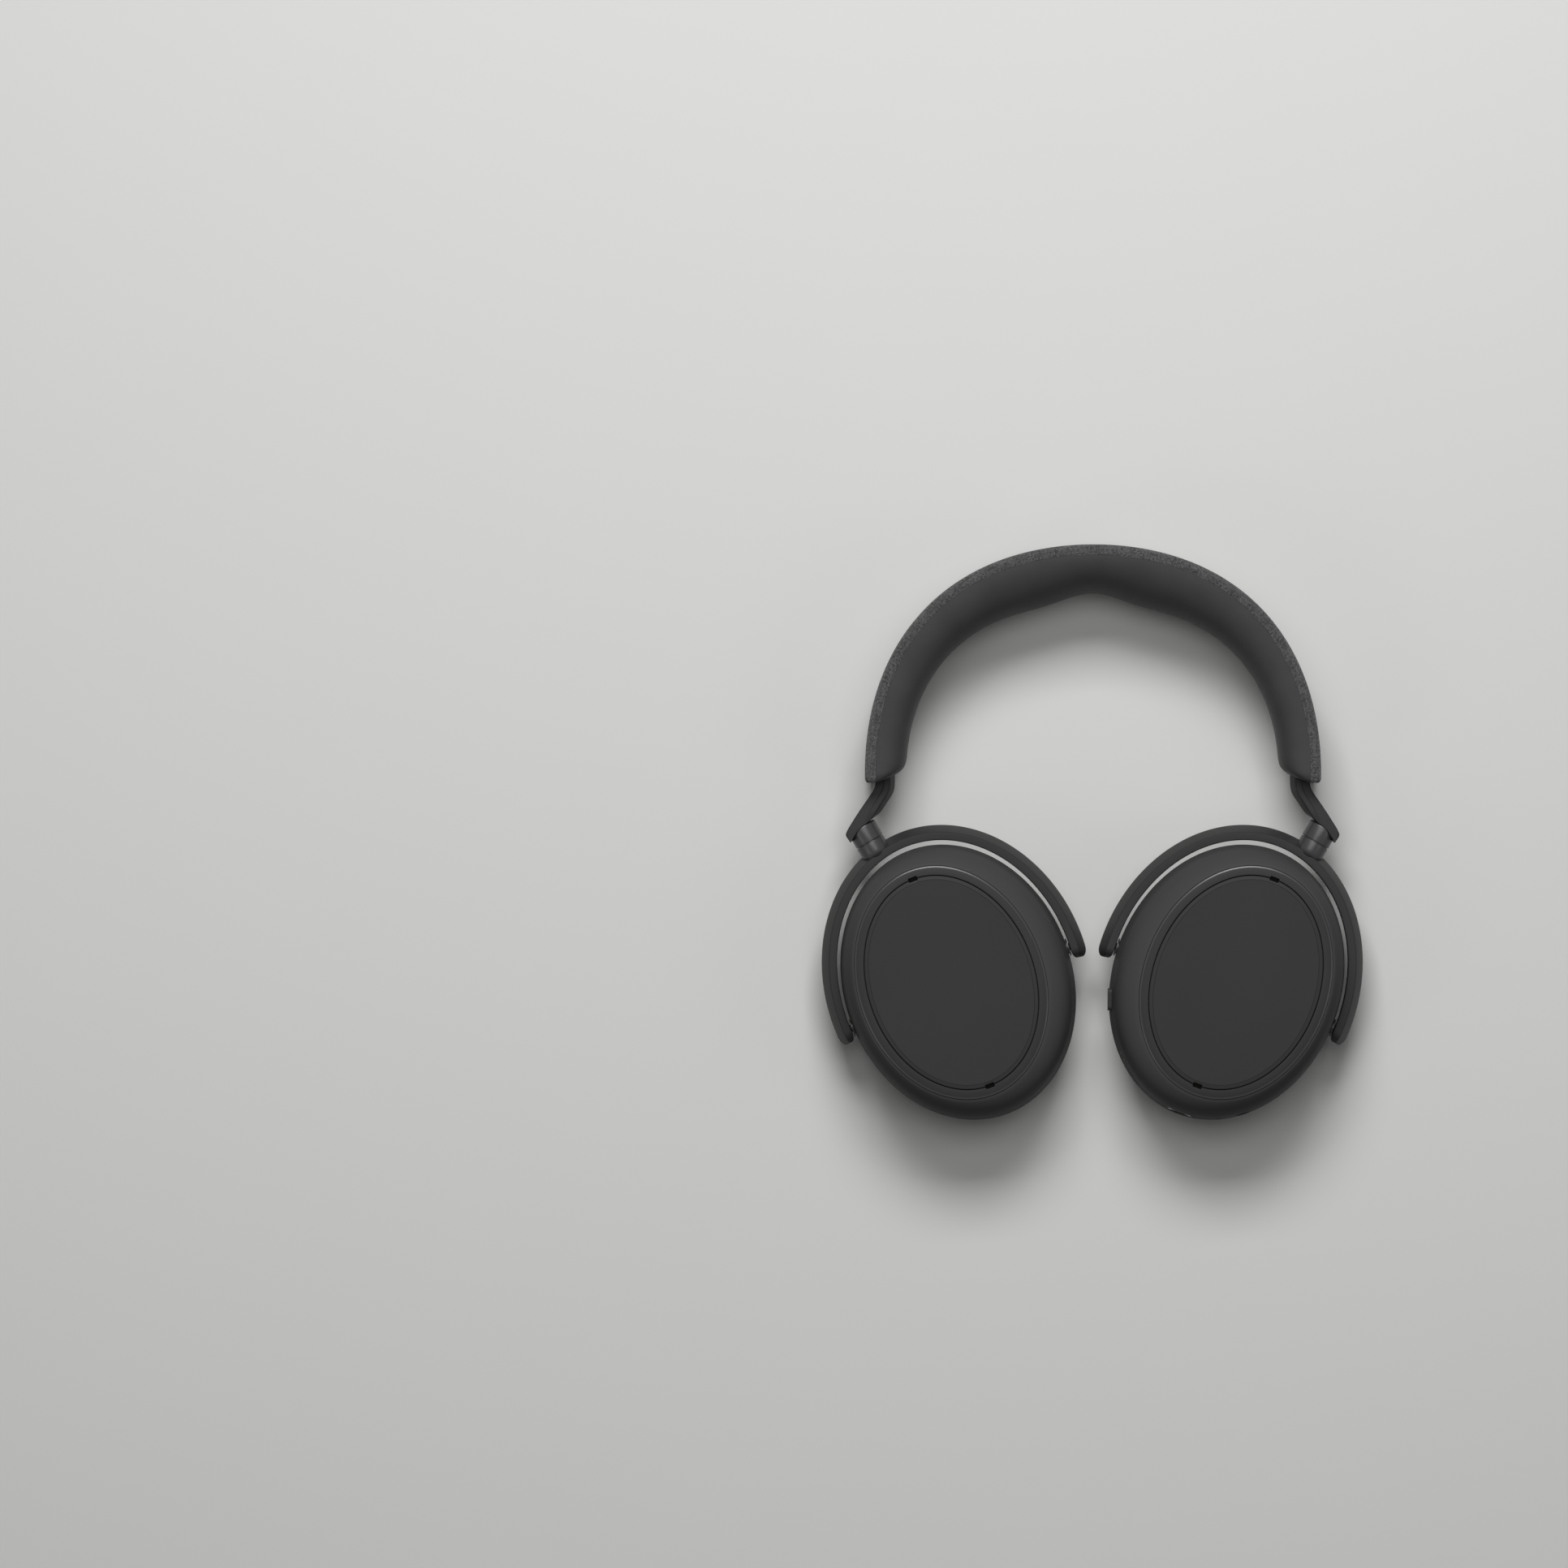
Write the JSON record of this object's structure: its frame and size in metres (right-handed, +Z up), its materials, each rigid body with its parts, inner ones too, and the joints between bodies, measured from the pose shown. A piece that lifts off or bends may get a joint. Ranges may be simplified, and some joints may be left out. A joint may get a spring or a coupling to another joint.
{
  "type": "over-ear headset",
  "caption": "Over-ear wireless headset with padded headband, sliding arms, swivelling yokes and tilting oval ear cups.",
  "frame": {"origin": "centre of the bounding box's base, on the surface the headset lies on", "axes": "+X towards the wearer's right cup, +Y towards the crown of the band, +Z up, out of the cups' outer plates"},
  "size_m": [0.1812, 0.192, 0.0412],
  "materials": {
    "woven_cover": "matte heathered weave",
    "leatherette": "satin, fine grain",
    "satin_plastic": "satin, fine texture",
    "housing_plastic": "smooth satin",
    "inner_plastic": "matte",
    "steel": "brushed",
    "nylon": "natural, matte",
    "ribbon": "amber film",
    "circuit_board": "solder mask",
    "battery_foil": "satin foil",
    "magnet": "plated",
    "film": "thin film",
    "mesh_cloth": "open knit",
    "light_pipe": "frosted",
    "mic_metal": "satin"
  },
  "bodies": {
    "headband": {"band_cover": "woven_cover", "band_cushion": "leatherette", "band_carrier": "inner_plastic", "band_spring": "steel", "band_ribbon": "ribbon", "spring_rivets": "steel", "slider_guide_left": "inner_plastic", "slider_guide_right": "inner_plastic", "detent_springs": "steel"},
    "slide_arm_left": {"arm_left": "satin_plastic", "slider_strip_left": "steel", "swivel_pin_left": "steel"},
    "cup_yoke_left": {"yoke_left": "satin_plastic", "swivel_washer_left": "nylon", "pivot_pins_left": "steel"},
    "ear_cup_left": {"cup_housing_left": "housing_plastic", "pivot_bushes_left": "nylon", "trim_ring_left": "satin_plastic", "outer_plate_left": "satin_plastic", "microphones_left": "mic_metal", "baffle_left": "inner_plastic", "cup_screws_left": "steel", "driver_basket_left": "inner_plastic", "driver_magnet_left": "magnet", "diaphragm_left": "film", "cushion_ring_left": "inner_plastic", "ear_cushion_left": "leatherette", "scrim_left": "mesh_cloth", "battery_left": "battery_foil", "charge_board_left": "circuit_board"},
    "slide_arm_right": {"arm_right": "satin_plastic", "slider_strip_right": "steel", "swivel_pin_right": "steel"},
    "cup_yoke_right": {"yoke_right": "satin_plastic", "swivel_washer_right": "nylon", "pivot_pins_right": "steel"},
    "ear_cup_right": {"cup_housing_right": "housing_plastic", "pivot_bushes_right": "nylon", "trim_ring_right": "satin_plastic", "outer_plate_right": "satin_plastic", "microphones_right": "mic_metal", "baffle_right": "inner_plastic", "cup_screws_right": "steel", "driver_basket_right": "inner_plastic", "driver_magnet_right": "magnet", "diaphragm_right": "film", "cushion_ring_right": "inner_plastic", "ear_cushion_right": "leatherette", "scrim_right": "mesh_cloth", "main_board_right": "circuit_board", "touch_board_right": "ribbon", "port_board_right": "circuit_board", "usb_port_right": "steel", "audio_jack_right": "inner_plastic", "battery_lights_right": "light_pipe", "button_switch_right": "inner_plastic"},
    "power_key": {"power_button_right": "satin_plastic"}
  },
  "joints": [
    {"name": "slider_left", "type": "slide", "parent": "headband", "child": "slide_arm_left", "axis": [0, -1, 0], "range_m": [0, 0.024]},
    {"name": "swivel_left", "type": "hinge", "parent": "slide_arm_left", "child": "cup_yoke_left", "pos_m": [-0.04738, -0.04991, 0.02], "axis": [0.5, -0.866, 0], "range_deg": [0, 95]},
    {"name": "tilt_left", "type": "hinge", "parent": "cup_yoke_left", "child": "ear_cup_left", "pos_m": [-0.04421, -0.05182, 0.02], "axis": [-0.9367, -0.3502, 0], "range_deg": [-10, 10]},
    {"name": "slider_right", "type": "slide", "parent": "headband", "child": "slide_arm_right", "axis": [0, -1, 0], "range_m": [0, 0.024]},
    {"name": "swivel_right", "type": "hinge", "parent": "slide_arm_right", "child": "cup_yoke_right", "pos_m": [0.04738, -0.04991, 0.02], "axis": [0.5, 0.866, 0], "range_deg": [0, 95]},
    {"name": "tilt_right", "type": "hinge", "parent": "cup_yoke_right", "child": "ear_cup_right", "pos_m": [0.04421, -0.05182, 0.02], "axis": [-0.9367, 0.3502, 0], "range_deg": [-10, 10]},
    {"name": "power_press", "type": "slide", "parent": "ear_cup_right", "child": "power_key", "axis": [0.9999, -0.0106, 0], "range_m": [0, 0.0006], "stiffness_N_per_m": 900, "springref_m": -0.0006}
  ]
}
